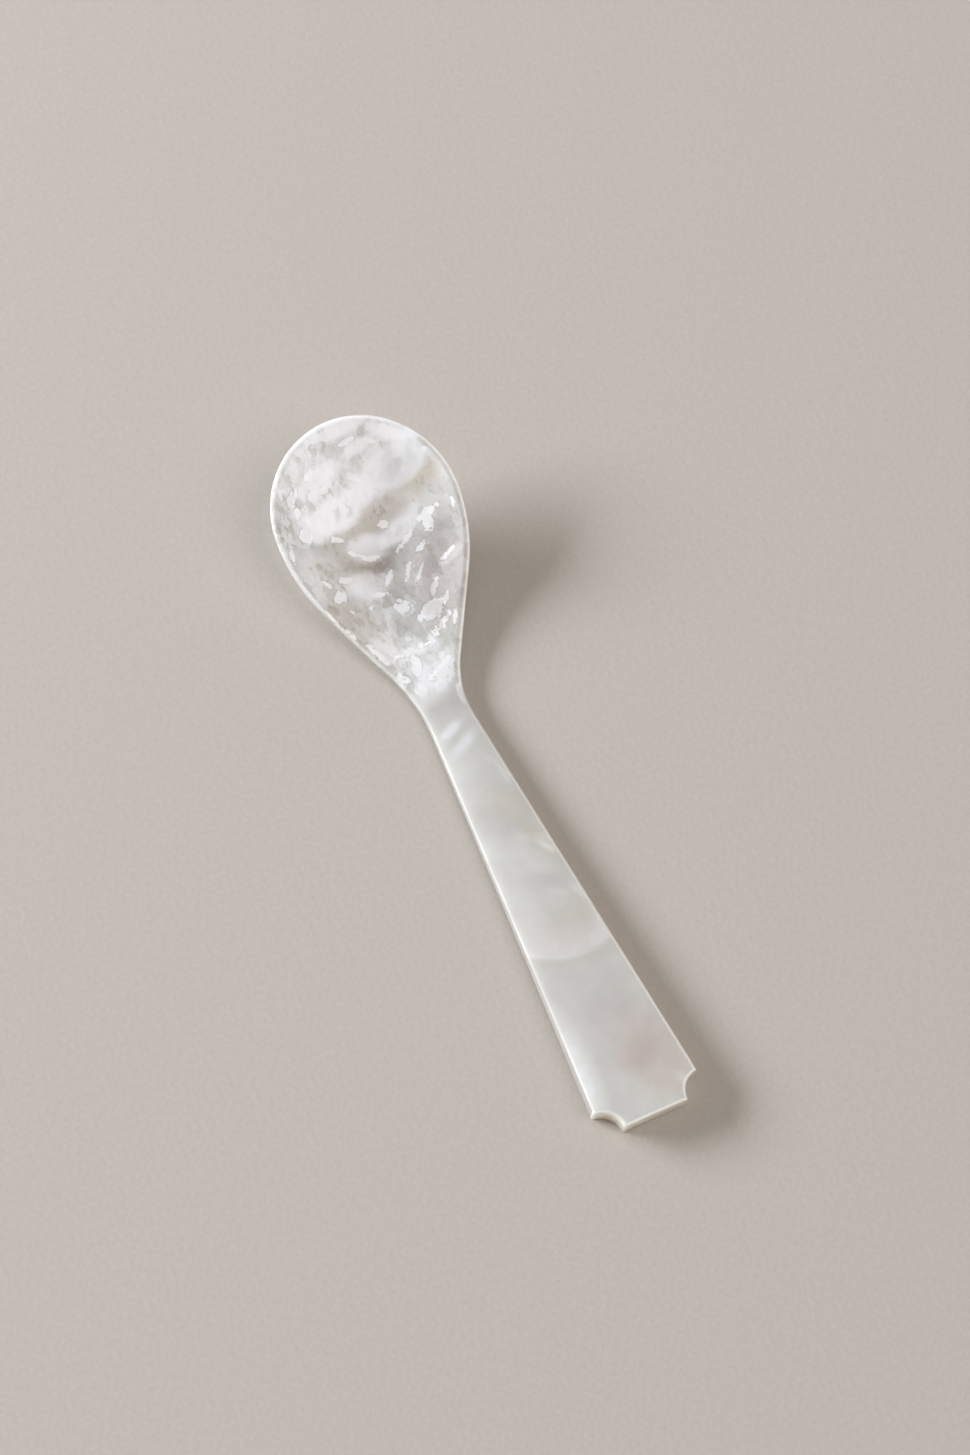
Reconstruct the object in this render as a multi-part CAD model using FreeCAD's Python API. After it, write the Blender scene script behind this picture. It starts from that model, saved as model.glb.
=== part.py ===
"""Caviar spoon cut from one piece of mother-of-pearl.

The spoon lies on a table as it rests: on the lower edge of the handle's end
and on the keel of the bowl. +X runs along the handle to the tip of the bowl,
+Y is the left side seen from the handle, +Z is up. The origin is on the table,
in the middle of the spoon's footprint.

While it is built, x is measured along the middle line from the neck: handle
stations are negative and bowl stations are positive.
"""
import FreeCAD, Part
import math
import os
from FreeCAD import Vector

# Plan of the handle
HANDLE_LENGTH = 72.9          # neck station to the squared end
NECK_WIDTH = 6.86             # the two straight sides, produced to the neck station
SHOULDER_WIDTH = 17.2         # across the sides, just before the scooped corners
SCOOP_RADIUS = 3.6            # quarter-round bite out of each corner of the end

# Plan of the bowl
BOWL_LENGTH = 47.0            # neck station to the tip
TIP_RADIUS = 15.3             # round front of the bowl, also half its greatest width
FLANK_RADIUS = 27.8           # fuller curve from the greatest width towards the neck
FLANK_ANGLE = 26.7            # degrees between the bowl's straight flank and its middle line
NECK_FILLET_LEFT = 25.0       # the bowl was cut by hand, so its two sides differ
NECK_FILLET_RIGHT = 18.0
BOWL_TURN = 3.4               # degrees that the bowl stands to the right of the handle's line
BEND_START = -4.2             # the middle line bends from here
BEND_END = 6.8                # to here

# Side view
END_HEIGHT = 3.1              # top of the handle at its end, also its thickness there
NECK_HEIGHT = 1.75            # top of the handle at the neck
RISE_STATION = 10.0           # the rim's straight run, produced back, meets the handle's top here
TIP_HEIGHT = 11.0             # rim above the table at the tip
RISE_RADIUS = 60.0            # curve that carries the handle's top into the rim
ARCH_HEIGHT = 0.3             # the underside stands clear of the table between its two contacts
CONTACT_STATION = 18.0        # where the bowl's keel touches the table
KEEL_POWER = 2.6              # the keel climbs with this power of the distance past the contact

# Sections
LIP_THICKNESS = 0.95          # height of the bowl's edge
LIP_WIDTH = 0.9               # flat of the rim between the edge and the hollow
BOWL_WALL = 1.3               # keel to the floor of the hollow
HOLLOW_START = 14.0           # behind this station the floor rises out of the bowl
HOLLOW_RUNOUT = 0.6           # extra wall at the back end of the hollow
TOP_CROWN = 0.24              # the handle's top is this much higher along its middle
RIM_CROWN = 0.02              # what is left of that crown on the bowl's rim

# Rounded edges
HOLLOW_EDGE_RADIUS = 1.2      # where the rim rolls into the hollow
CORNER_RADIUS = 0.3           # upright corners of the end and the scoops

# Sections stand this far apart along the middle line, and run past both ends
STATION_STEP = 4.1
OVERRUN = 2.0
TIP_MARGIN = 2.0              # no curve across is measured nearer to the tip than this
TRIM = 2.0                    # the blanks are this much wider than the outline on each side
HEADROOM = 8.0                # and this much higher than the tip
TOUCH = 0.01                  # points nearer than this are the same point


def bowl_point(x, y):
    """A point of the bowl's own plan, turned about the middle of the bend."""
    pivot = 0.5 * (BEND_START + BEND_END)
    turn = math.radians(-BOWL_TURN)
    along = x - pivot
    return Vector(pivot + along * math.cos(turn) - y * math.sin(turn),
                  along * math.sin(turn) + y * math.cos(turn), 0)


def side_slope():
    """Growth of the handle's half width for each millimetre away from the neck."""
    shoulder = HANDLE_LENGTH - SCOOP_RADIUS
    return 0.5 * (SHOULDER_WIDTH - NECK_WIDTH) / shoulder


def handle_half_width(x):
    return 0.5 * NECK_WIDTH - side_slope() * x


def flank_tangent():
    """Bowl-plan point where the straight flank runs into the flank curve."""
    angle = math.radians(FLANK_ANGLE)
    widest = BOWL_LENGTH - TIP_RADIUS
    return (widest - FLANK_RADIUS * math.sin(angle),
            TIP_RADIUS - FLANK_RADIUS * (1 - math.cos(angle)))


def bowl_half_width(x):
    """Half width of the bowl: straight flank, flank curve, then the round front."""
    widest = BOWL_LENGTH - TIP_RADIUS
    flank_x, flank_y = flank_tangent()
    if x < flank_x:
        return flank_y - (flank_x - x) * math.tan(math.radians(FLANK_ANGLE))
    if x < widest:
        return TIP_RADIUS - FLANK_RADIUS + math.sqrt(FLANK_RADIUS ** 2 - (widest - x) ** 2)
    return math.sqrt(max(TIP_RADIUS ** 2 - (x - widest) ** 2, 0.0))


def half_width(x):
    """The wider of the handle's and the bowl's plan, which cross near the neck."""
    if x <= 0:
        return handle_half_width(x)
    return max(handle_half_width(x), bowl_half_width(min(x, BOWL_LENGTH - TIP_MARGIN)))


def line_crossing(p, u, q, v):
    """Where the line through p along u meets the line through q along v."""
    d = q - p
    t = (d.x * v.y - d.y * v.x) / (u.x * v.y - u.y * v.x)
    return p + u * t


def neck_arc(side, radius):
    """Tangent arc from the handle's side to the bowl's flank: start, middle, end."""
    handle_far = Vector(-HANDLE_LENGTH, side * handle_half_width(-HANDLE_LENGTH), 0)
    handle_near = Vector(0, side * handle_half_width(0), 0)
    flank_x, flank_y = flank_tangent()
    flank_far = bowl_point(flank_x, side * flank_y)
    flank_near = bowl_point(0, side * bowl_half_width(0))
    back = (handle_far - handle_near).normalize()
    out = (flank_far - flank_near).normalize()
    corner = line_crossing(handle_near, back, flank_near, out)
    half_open = 0.5 * back.getAngle(out)
    reach = radius / math.tan(half_open)
    bisector = (back + out).normalize()
    middle = corner + bisector * (radius / math.sin(half_open) - radius)
    return corner + back * reach, middle, corner + out * reach


def outline():
    """Closed plan of the spoon, from the end of the handle round the bowl and back."""
    end = -HANDLE_LENGTH
    end_half = handle_half_width(end)
    corner_step = SCOOP_RADIUS * math.sin(math.radians(45))
    side_run = math.hypot(1.0, side_slope())
    shoulder_x = end + SCOOP_RADIUS / side_run
    widest = BOWL_LENGTH - TIP_RADIUS
    flank_x, flank_y = flank_tangent()
    mid_angle = math.radians(0.5 * FLANK_ANGLE)
    flank_mid = (widest - FLANK_RADIUS * math.sin(mid_angle),
                 TIP_RADIUS - FLANK_RADIUS * (1 - math.cos(mid_angle)))

    def half(side, radius):
        """Edges of one side, from the end of the handle to the bowl's greatest width."""
        foot = Vector(end, side * (end_half - SCOOP_RADIUS), 0)
        scoop = Vector(end + corner_step, side * (end_half - corner_step), 0)
        shoulder = Vector(shoulder_x, side * handle_half_width(shoulder_x), 0)
        start, middle, stop = neck_arc(side, radius)
        flank = bowl_point(flank_x, side * flank_y)
        beam = bowl_point(widest, side * TIP_RADIUS)
        return [Part.Arc(foot, scoop, shoulder).toShape(),
                Part.LineSegment(shoulder, start).toShape(),
                Part.Arc(start, middle, stop).toShape(),
                Part.LineSegment(stop, flank).toShape(),
                Part.Arc(flank, bowl_point(flank_mid[0], side * flank_mid[1]), beam).toShape()]

    tip = Part.Arc(bowl_point(widest, TIP_RADIUS), bowl_point(BOWL_LENGTH, 0),
                   bowl_point(widest, -TIP_RADIUS)).toShape()
    foot_line = Part.LineSegment(Vector(end, end_half - SCOOP_RADIUS, 0),
                                 Vector(end, SCOOP_RADIUS - end_half, 0)).toShape()
    edges = half(1, NECK_FILLET_LEFT) + [tip] + half(-1, NECK_FILLET_RIGHT) + [foot_line]
    return Part.Wire(Part.__sortEdges__(edges))


def top_height(x):
    """Top line: the handle falls to the neck, a tangent arc turns it up into the rim."""
    fall = (NECK_HEIGHT - END_HEIGHT) / HANDLE_LENGTH
    knee = NECK_HEIGHT + fall * RISE_STATION
    rise = (TIP_HEIGHT - knee) / (BOWL_LENGTH - RISE_STATION)
    before, after = math.atan(fall), math.atan(rise)
    reach = RISE_RADIUS * math.tan(0.5 * (after - before))
    start = RISE_STATION - reach * math.cos(before)
    stop = RISE_STATION + reach * math.cos(after)
    if x <= start:
        return NECK_HEIGHT + fall * x
    if x >= stop:
        return knee + rise * (x - RISE_STATION)
    centre_x = start - RISE_RADIUS * math.sin(before)
    centre_z = NECK_HEIGHT + fall * start + RISE_RADIUS * math.cos(before)
    return centre_z - math.sqrt(RISE_RADIUS ** 2 - (x - centre_x) ** 2)


def keel_height(x):
    """Lowest line: a shallow arch under the handle, then the bowl's keel climbs to the tip."""
    if x < CONTACT_STATION:
        share = (x + HANDLE_LENGTH) / (CONTACT_STATION + HANDLE_LENGTH)
        return 4 * ARCH_HEIGHT * share * (1 - share)
    share = (x - CONTACT_STATION) / (BOWL_LENGTH - CONTACT_STATION)
    return (TIP_HEIGHT - LIP_THICKNESS) * share ** KEEL_POWER


def floor_height(x):
    """Floor of the hollow: the keel plus the wall, which thickens towards the neck."""
    runout = max(HOLLOW_START - x, 0.0) / HOLLOW_START
    return keel_height(x) + BOWL_WALL + HOLLOW_RUNOUT * runout ** 2


def station_frame(x):
    """Place on the bent middle line and the direction across it, for one station."""
    bend = BEND_END - BEND_START
    turned = min(max((x - BEND_START) / bend, 0.0), 1.0)
    heading = -math.radians(BOWL_TURN) * turned
    across = Vector(-math.sin(heading), math.cos(heading), 0)
    if x <= BEND_START:
        return Vector(x, 0, 0), across
    if x >= BEND_END:
        return bowl_point(x, 0), across
    radius = bend / math.radians(BOWL_TURN)
    place = Vector(BEND_START - radius * math.sin(heading), -radius * (1 - math.cos(heading)), 0)
    return place, across


def bow(x, height, curve, reach):
    """Parabola across one station: at height on the middle line, curve is its rise per mm squared."""
    place, across = station_frame(x)
    lift = curve * reach ** 2
    parabola = Part.BezierCurve()
    parabola.setPoles([place + across * reach + Vector(0, 0, height + lift),
                       place + Vector(0, 0, height - lift),
                       place - across * reach + Vector(0, 0, height + lift)])
    return Part.Wire([parabola.toShape()])


def edge_thickness(x):
    """Height of the spoon's edge: the full handle, thinned to the lip where the bowl rises."""
    handle_edge = top_height(min(x, 0.0)) - keel_height(min(x, 0.0))
    share = min(max((x - BEND_START) / (RISE_STATION - BEND_START), 0.0), 1.0)
    blend = share * share * (3 - 2 * share)
    return handle_edge + (LIP_THICKNESS - handle_edge) * blend


def underside_curve(x):
    """Curve across the underside that leaves the edge its thickness."""
    x = min(x, BOWL_LENGTH - TIP_MARGIN)
    return (top_height(x) - edge_thickness(x) - keel_height(x)) / half_width(x) ** 2


def hollow_curve(x):
    """Curve across the hollow that leaves the rim its width."""
    x = min(max(x, HOLLOW_START / 2), BOWL_LENGTH - 2 * TIP_MARGIN)
    return (top_height(x) - floor_height(x)) / (half_width(x) - LIP_WIDTH) ** 2


def top_curve(x):
    """Crown of the handle's top, which fades out towards the level rim."""
    share = min(max(x / RISE_STATION, 0.0), 1.0)
    return -(TOP_CROWN + (RIM_CROWN - TOP_CROWN) * share) / half_width(x) ** 2


def blank(start, height, curve, upright):
    """Solid between a face lofted through its sections and the same face moved along upright."""
    run = BOWL_LENGTH + OVERRUN - start
    count = round(run / STATION_STEP)
    stations = [start + run * i / count for i in range(count + 1)]
    bows = [bow(x, height(x), curve(x), half_width(x) + TRIM) for x in stations]
    return Part.makeLoft(bows, False, False).Faces[0].extrude(upright)


def upright_corners(shape, places):
    """The upright edges of a straight-walled shape that stand over the given plan points."""
    return [edge for edge in shape.Edges
            if any(math.dist((vertex.X, vertex.Y), (place.x, place.y)) < TOUCH
                   for vertex in edge.Vertexes for place in places)
            and edge.BoundBox.ZLength > HEADROOM]


def sawn_plate():
    """The outline as an upright plate, with the corners of its end and scoops rounded."""
    end_half = handle_half_width(-HANDLE_LENGTH)
    shoulder_x = SCOOP_RADIUS / math.hypot(1.0, side_slope()) - HANDLE_LENGTH
    places = [Vector(x, side * y, 0) for side in (1, -1)
              for x, y in ((-HANDLE_LENGTH, end_half - SCOOP_RADIUS),
                           (shoulder_x, handle_half_width(shoulder_x)))]
    plate = Part.Face(outline()).extrude(Vector(0, 0, TIP_HEIGHT + 2 * HEADROOM))
    plate.translate(Vector(0, 0, -HEADROOM))
    return plate.makeFillet(CORNER_RADIUS, upright_corners(plate, places))


def round_face(shape, x, height, radius):
    """Round the outer edges of the face that lies at one station and height."""
    point = Part.Vertex(station_frame(x)[0] + Vector(0, 0, height))
    face = min(shape.Faces, key=lambda candidate: candidate.distToShape(point)[0])
    return shape.makeFillet(radius, face.OuterWire.Edges)


def spoon():
    """The plate shaped from below and above, then the bowl ground out and its edge rolled."""
    start = -HANDLE_LENGTH - OVERRUN
    mid_bowl = 0.5 * BOWL_LENGTH
    up = Vector(0, 0, TIP_HEIGHT + HEADROOM)
    shape = sawn_plate().common(blank(start, keel_height, underside_curve, up))
    shape = shape.common(blank(start, top_height, top_curve, -up))
    shape = shape.cut(blank(0.0, floor_height, hollow_curve, up))
    shape = round_face(shape, mid_bowl, floor_height(mid_bowl), HOLLOW_EDGE_RADIUS)
    footprint = outline().BoundBox
    shape.translate(Vector(-footprint.Center.x, -footprint.Center.y, 0))
    return shape.Solids[0]


os.makedirs("parts", exist_ok=True)
solid = spoon()
solid.exportStep("parts/spoon.step")
print("spoon: valid", solid.isValid(), "faces", len(solid.Faces),
      "volume", round(solid.Volume, 1), "mm3")
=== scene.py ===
"""Caviar spoon of mother-of-pearl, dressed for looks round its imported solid.

Everything is worked out in millimetres in plan stations and turned to metres
when a mesh is made. Stations run along the middle line of the spoon: 0 is the
neck, the handle is negative, the bowl positive, and y is the left side.
"""
import math

import bpy
import numpy as np
from mathutils import Matrix, Vector


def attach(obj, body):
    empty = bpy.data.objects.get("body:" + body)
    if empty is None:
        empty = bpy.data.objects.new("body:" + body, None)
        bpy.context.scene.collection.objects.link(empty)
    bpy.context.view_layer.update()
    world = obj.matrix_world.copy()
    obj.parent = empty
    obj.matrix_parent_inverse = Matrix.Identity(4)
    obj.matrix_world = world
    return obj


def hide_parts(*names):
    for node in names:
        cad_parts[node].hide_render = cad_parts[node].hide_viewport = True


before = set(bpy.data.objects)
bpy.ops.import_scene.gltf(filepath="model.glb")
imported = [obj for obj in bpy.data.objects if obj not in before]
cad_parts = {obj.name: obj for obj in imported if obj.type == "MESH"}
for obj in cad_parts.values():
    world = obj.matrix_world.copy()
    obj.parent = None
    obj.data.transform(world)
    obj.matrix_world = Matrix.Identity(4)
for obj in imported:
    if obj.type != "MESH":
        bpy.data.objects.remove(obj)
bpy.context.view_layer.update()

MM = 0.001

# Plan of the handle and the bowl
HANDLE_LENGTH = 72.9
NECK_WIDTH = 6.86
SHOULDER_WIDTH = 17.2
SCOOP_RADIUS = 3.6
CORNER_RADIUS = 0.3
BOWL_LENGTH = 47.0
TIP_RADIUS = 15.3
WIDEST = BOWL_LENGTH - TIP_RADIUS
FLANK_RADIUS = 27.8
FLANK_ANGLE = math.radians(26.7)
NECK_FILLET = {1: 25.0, -1: 18.0}  # left and right
PLAN_BLEND = 0.6              # width over which the plans of handle and bowl run together
BOWL_TURN = math.radians(3.4)
BEND_START = -4.2
BEND_END = 6.8
FOOTPRINT_SHIFT = (12.977, 1.792)

# Side view
END_HEIGHT = 3.1
NECK_HEIGHT = 1.75
RISE_STATION = 10.0
TIP_HEIGHT = 11.0
RISE_RADIUS = 60.0
ARCH_HEIGHT = 0.3
CONTACT_STATION = 18.0
KEEL_POWER = 2.6

# Sections
LIP_THICKNESS = 0.95
LIP_WIDTH = 0.9
BOWL_WALL = 1.3
HOLLOW_START = 14.0
HOLLOW_RUNOUT = 0.6
TOP_CROWN = 0.24
RIM_CROWN = 0.02
TIP_MARGIN = 2.0
HOLLOW_ROLL = 0.24            # height over which the rim rolls into the hollow

# Polished edges
HANDLE_EDGE = {1: 0.36, -1: 0.2}  # radius of the handle's top edges, left and right
END_EDGE = 0.25               # radius of the end's top edge, one for both sides so that they meet
LIP_EDGE = 0.32               # radius of the bowl's lip
UNDER_EDGE = 0.35             # radius of the lower edges
CORNER_EDGE = 0.25            # radius of both at the corners, less than their plan radius
CORNER_EASE = 2.5             # distance over which the other radii ease down to it
EDGE_CHANGE = (2.0, -6.0)     # stations between which the lip's radius turns into the handle's

# Grid
END_POLE = -66.0              # the end's lines meet here on the middle line
TOP_ROWS = 58                 # points from the middle line to the edge, on top
UNDER_ROWS = 30               # the same underneath
EDGE_ROWS = 6                 # steps round each quarter circle of the edge
TOP_CROWDING = 1.35           # how the points crowd towards the edge on top: 1 is evenly
UNDER_CROWDING = 1.2          # the same underneath

# Points along each piece of the outline, from the middle of the end to the tip
END_POINTS = 14
ROUND_POINTS = 6
SCOOP_POINTS = 18
SIDE_POINTS = 150
NECK_POINTS = 30
STRAIGHT_POINTS = 16
FLANK_POINTS = 36
TIP_POINTS = 70

# Grain of the shell, in millimetres
WANDER = 1.5                  # how far growth lines stray
WANDER_PACE = 0.7             # turns of that straying in a millimetre
SLOW_PACE = 0.16              # turns of the slow change from clear to milky in a millimetre
FACET = 2.3                   # width of one large plate
CRUMB = 1.2                   # width of one small plate
GRAIN = 0.6                   # ragged rims of clouds and figures
PLATE_TURN = math.radians(62)  # how the rows of plates lie in the plan
PLATE_CROWDING = (1.0, 1.6, 0.5)  # how closely plates follow each other along, across and up
LEAN = 0.20                   # most a plate leans, as a share of its normal
LAYERS = (-0.34, -0.13, 0.93)  # way the layers face in the bowl, which is cut across them
LEVEL_SHARE = 0.8             # how far the gleam follows those layers, not the cut surface
MIDDLE = 0.5                  # value that noise and the plates' own colours vary round

# Milkiness of the shell, from 0 clear and grey to 1 white
PLAIN_MILK = 0.44
BOWL_MILK = 0.07              # what the bowl has more
LINE_MILK = 0.20              # just past the growth line across the handle
SEAM_MILK = 0.15              # just past the growth line near the tip
LIP_MILK = 0.16               # on the bowl's lip
ROLL_SHADE = -0.14             # painted shade where the rim rolls into the hollow
SAWN_GLOW_MILK = 0.6               # on sawn walls and their arrises: partly their own cream, partly a painted glow on the sides the window doesn't light
LIT_WALL_SHADE = -0.75            # painted shade on the left wall, which the low window lights head-on
CLOUD_FADE = 0.7              # how soft the clouds' rims are, as a share of their size
WISP_FADE = 1.5               # the same for the wisps

# Growth lines: a parabola across the handle, and a slanting line with two ripples near the tip
LINE_STATION, LINE_ACROSS = -46.3, -1.5  # place of the parabola that is nearest the end
LINE_BEND = 0.045             # how fast it runs forwards on both sides of that place
SEAM_STATION = 34.2           # where the slanting line crosses the middle line
SEAM_SLANT = 0.34             # how fast it runs back to the left
SEAM_RIPPLES = ((0.4, 1.3, 0.0), (0.25, 3.1, 1.0))  # height, pace across and start of each

# Rim and walls: the left wall faces the window and is given painted shade; the right one and the
# end's are sawn, their cream partly their own and partly a painted glow
ROLL_MARGIN = 0.85            # distance inside the outline where the rim rolls into the hollow
NECK_CHANGE = 4.0             # width across over which the left wall's painted shade turns into the sawn walls' look and painted glow, up to station 30
TIP_CHANGE = 16.0             # the same past station 38, round the tip
LIT_WALL_SHARE = 0.85            # how much of the sawn look and its painted glow the window-lit left wall lacks
ARRIS_SHARE = 0.7             # how much of it the sawn arris has

# Colours of the shell: its tone by milkiness, the tints over it, and its gleam
TONES = ((0.0, "#A29C97"), (0.3, "#C3C0BC"), (0.5, "#D4D2CE"), (0.61, "#DDDCDA"),
         (0.73, "#F2F2F3"), (1.0, "#FFFFFF"))
# The sawn walls' straw is partly their own colour and partly a painted warm glow of light through
# the shell
TINTS = (("warm", "#F2E5D3"), ("rose", "#EEDDE0"), ("sawn_glow", "#FCEBD0"))
GLEAM = "#F5F6FF"

# Floor
FLOOR_HALF = 3.0              # metres from its middle to each side
PAPER_FIBRE = 0.7             # size of the board's mottling in millimetres
PAPER_TONES = ((0.25, "#C0B8B0"), (0.75, "#C8C0B8"))


def smooth(t):
    """Three t squared less two t cubed, held between 0 and 1."""
    t = np.clip(t, 0.0, 1.0)
    return t * t * (3 - 2 * t)


def rises(value, first, last):
    """The same smooth step, from 0 at first to 1 at last, whichever of them is greater."""
    return smooth((value - first) / (last - first))


def soft_min(a, b, roll):
    """The lower of a and b, less a parabola of the gap where they are nearer than roll."""
    near = np.maximum(roll - np.abs(a - b), 0.0) / roll
    return np.minimum(a, b) - 0.25 * roll * near ** 2


def soft_max(a, b, roll):
    """The upper of a and b, softened in the same way."""
    return -soft_min(-a, -b, roll)


# Plan

def run(p, q, count):
    """Evenly spaced points on the straight line from p to q."""
    t = np.linspace(0.0, 1.0, count)[:, None]
    return np.asarray(p) * (1 - t) + np.asarray(q) * t


def sweep(centre, p, q, count):
    """Points on the short arc round centre from p to q, evenly spaced in angle."""
    centre = np.asarray(centre, float)
    first, last = np.asarray(p) - centre, np.asarray(q) - centre
    start = math.atan2(first[1], first[0])
    turn = math.remainder(math.atan2(last[1], last[0]) - start, 2 * math.pi)
    angle = start + turn * np.linspace(0.0, 1.0, count)
    return centre + np.hypot(*first) * np.stack([np.cos(angle), np.sin(angle)], 1)


def handle_half_width(x):
    """Straight taper through the half widths at the neck and at the shoulder."""
    slope = 0.5 * (SHOULDER_WIDTH - NECK_WIDTH) / (HANDLE_LENGTH - SCOOP_RADIUS)
    return 0.5 * NECK_WIDTH - slope * x


def flank_tangent():
    """Bowl-plan point where the straight flank runs into the flank curve."""
    return (WIDEST - FLANK_RADIUS * math.sin(FLANK_ANGLE),
            TIP_RADIUS - FLANK_RADIUS * (1 - math.cos(FLANK_ANGLE)))


def bowl_half_width(x):
    """Straight flank, then the flank circle, then the tip circle."""
    flank_x, flank_y = flank_tangent()
    straight = flank_y - (flank_x - x) * math.tan(FLANK_ANGLE)
    rise = np.sqrt(np.maximum(FLANK_RADIUS ** 2 - (WIDEST - x) ** 2, 0))
    flank = TIP_RADIUS - FLANK_RADIUS + rise
    tip = np.sqrt(np.maximum(TIP_RADIUS ** 2 - (x - WIDEST) ** 2, 0))
    return np.where(x < flank_x, straight, np.where(x < WIDEST, flank, tip))


def half_width(x):
    """The wider of the handle's and the bowl's plan, blended where they cross."""
    bowl = bowl_half_width(np.minimum(x, BOWL_LENGTH - TIP_MARGIN))
    return soft_max(handle_half_width(x), bowl, PLAN_BLEND)


def half_outline(side):
    """Plan of one side, with its y counted outwards, from the middle of the end to the tip.

    A line, the scooped corner between its two small rounds, the straight side, the
    neck's arc, the flank and the tip's quarter circle follow one another.
    """
    turn = side * BOWL_TURN
    pivot = 0.5 * (BEND_START + BEND_END)

    def bowl(x, y):
        """A point of the bowl's own plan, turned with the bowl."""
        along = x - pivot
        return np.array([pivot + along * math.cos(turn) + y * math.sin(turn),
                         -along * math.sin(turn) + y * math.cos(turn)])

    corner = np.array([-HANDLE_LENGTH, handle_half_width(-HANDLE_LENGTH)])
    inwards = np.array([0.0, -1.0])
    forwards = np.array([0.0, 0.5 * NECK_WIDTH]) - corner
    forwards /= np.hypot(*forwards)
    grown = SCOOP_RADIUS + CORNER_RADIUS
    reach = math.sqrt(grown ** 2 - CORNER_RADIUS ** 2)

    def small_round(along, into):
        """Centre of the round between a straight edge and the scoop, and its two ends."""
        centre = corner + along * reach + into * CORNER_RADIUS
        return centre, corner + along * reach, corner + (centre - corner) * SCOOP_RADIUS / grown

    foot, foot_line, foot_scoop = small_round(inwards, np.array([1.0, 0.0]))
    shoulder, side_line, side_scoop = small_round(forwards, np.array([forwards[1], -forwards[0]]))

    flank_x, flank_y = flank_tangent()
    flank = bowl(flank_x, flank_y)
    out = flank - bowl(0.0, flank_y - flank_x * math.tan(FLANK_ANGLE))
    out /= np.hypot(*out)
    gap = flank - corner
    cross = forwards[0] * out[1] - forwards[1] * out[0]
    meet = corner + forwards * (gap[0] * out[1] - gap[1] * out[0]) / cross
    half_open = 0.5 * math.acos(float(-forwards @ out))
    bisector = out - forwards
    bisector /= np.hypot(*bisector)
    radius = NECK_FILLET[side]
    hub = meet + bisector * radius / math.sin(half_open)
    neck_start = meet - forwards * radius / math.tan(half_open)
    neck_stop = meet + out * radius / math.tan(half_open)

    beam, tip = bowl(WIDEST, TIP_RADIUS), bowl(BOWL_LENGTH, 0.0)
    pieces = [run((-HANDLE_LENGTH, 0.0), foot_line, END_POINTS),
              sweep(foot, foot_line, foot_scoop, ROUND_POINTS),
              sweep(corner, foot_scoop, side_scoop, SCOOP_POINTS),
              sweep(shoulder, side_scoop, side_line, ROUND_POINTS),
              run(side_line, neck_start, SIDE_POINTS),
              sweep(hub, neck_start, neck_stop, NECK_POINTS),
              run(neck_stop, flank, STRAIGHT_POINTS),
              sweep(bowl(WIDEST, TIP_RADIUS - FLANK_RADIUS), flank, beam, FLANK_POINTS),
              sweep(bowl(WIDEST, 0.0), beam, tip, TIP_POINTS)]
    return np.concatenate([pieces[0]] + [piece[1:] for piece in pieces[1:]])


def unbend(points, side):
    """Plan points as station and distance across: the inverse of an arc of even curvature."""
    radius = side * (BEND_END - BEND_START) / BOWL_TURN
    dx, dy = points[:, 0] - BEND_START, points[:, 1] + radius
    angle = np.clip(np.arctan2(side * dx, side * dy) * side, 0.0, BOWL_TURN) * side
    place_x = BEND_START + radius * np.sin(angle)
    place_y = -radius * (1 - np.cos(angle))
    ahead, aside = points[:, 0] - place_x, points[:, 1] - place_y
    along = ahead * np.cos(angle) - aside * np.sin(angle)
    across = ahead * np.sin(angle) + aside * np.cos(angle)
    bent = radius * angle
    straight = points[:, 0] < BEND_START
    return np.stack([np.where(straight, points[:, 0], BEND_START + bent + along),
                     np.where(straight, points[:, 1], across)], 1)


def bend(x, y):
    """Stations back to the plan in the shared frame: the middle line follows its arc."""
    radius = (BEND_END - BEND_START) / BOWL_TURN
    angle = np.clip((x - BEND_START) / radius, 0.0, BOWL_TURN)
    rest = x - BEND_START - radius * angle
    return (BEND_START + radius * np.sin(angle) + rest * np.cos(angle) + y * np.sin(angle)
            + FOOTPRINT_SHIFT[0],
            -radius * (1 - np.cos(angle)) - rest * np.sin(angle) + y * np.cos(angle)
            + FOOTPRINT_SHIFT[1])


# Heights

def top_line(x):
    """Straight fall to the neck, a tangent circle, then the straight rise of the rim."""
    fall = (NECK_HEIGHT - END_HEIGHT) / HANDLE_LENGTH
    knee = NECK_HEIGHT + fall * RISE_STATION
    rise = (TIP_HEIGHT - knee) / (BOWL_LENGTH - RISE_STATION)
    before, after = math.atan(fall), math.atan(rise)
    reach = RISE_RADIUS * math.tan(0.5 * (after - before))
    start = RISE_STATION - reach * math.cos(before)
    stop = RISE_STATION + reach * math.cos(after)
    centre_x = start - RISE_RADIUS * math.sin(before)
    centre_z = NECK_HEIGHT + fall * start + RISE_RADIUS * math.cos(before)
    circle = centre_z - np.sqrt(np.maximum(RISE_RADIUS ** 2 - (x - centre_x) ** 2, 0))
    return np.where(x <= start, NECK_HEIGHT + fall * x,
                    np.where(x >= stop, knee + rise * (x - RISE_STATION), circle))


def keel_line(x):
    """A shallow parabola under the handle, then a power curve up to the tip."""
    share = (x + HANDLE_LENGTH) / (CONTACT_STATION + HANDLE_LENGTH)
    climb = np.maximum(x - CONTACT_STATION, 0) / (BOWL_LENGTH - CONTACT_STATION)
    return np.where(x < CONTACT_STATION, 4 * ARCH_HEIGHT * share * (1 - share),
                    (TIP_HEIGHT - LIP_THICKNESS) * climb ** KEEL_POWER)


def floor_line(x):
    """The keel, plus the wall, plus a square that lifts the floor behind the hollow's start."""
    behind = np.maximum(HOLLOW_START - x, 0.0) / HOLLOW_START
    return keel_line(x) + BOWL_WALL + HOLLOW_RUNOUT * behind ** 2


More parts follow.
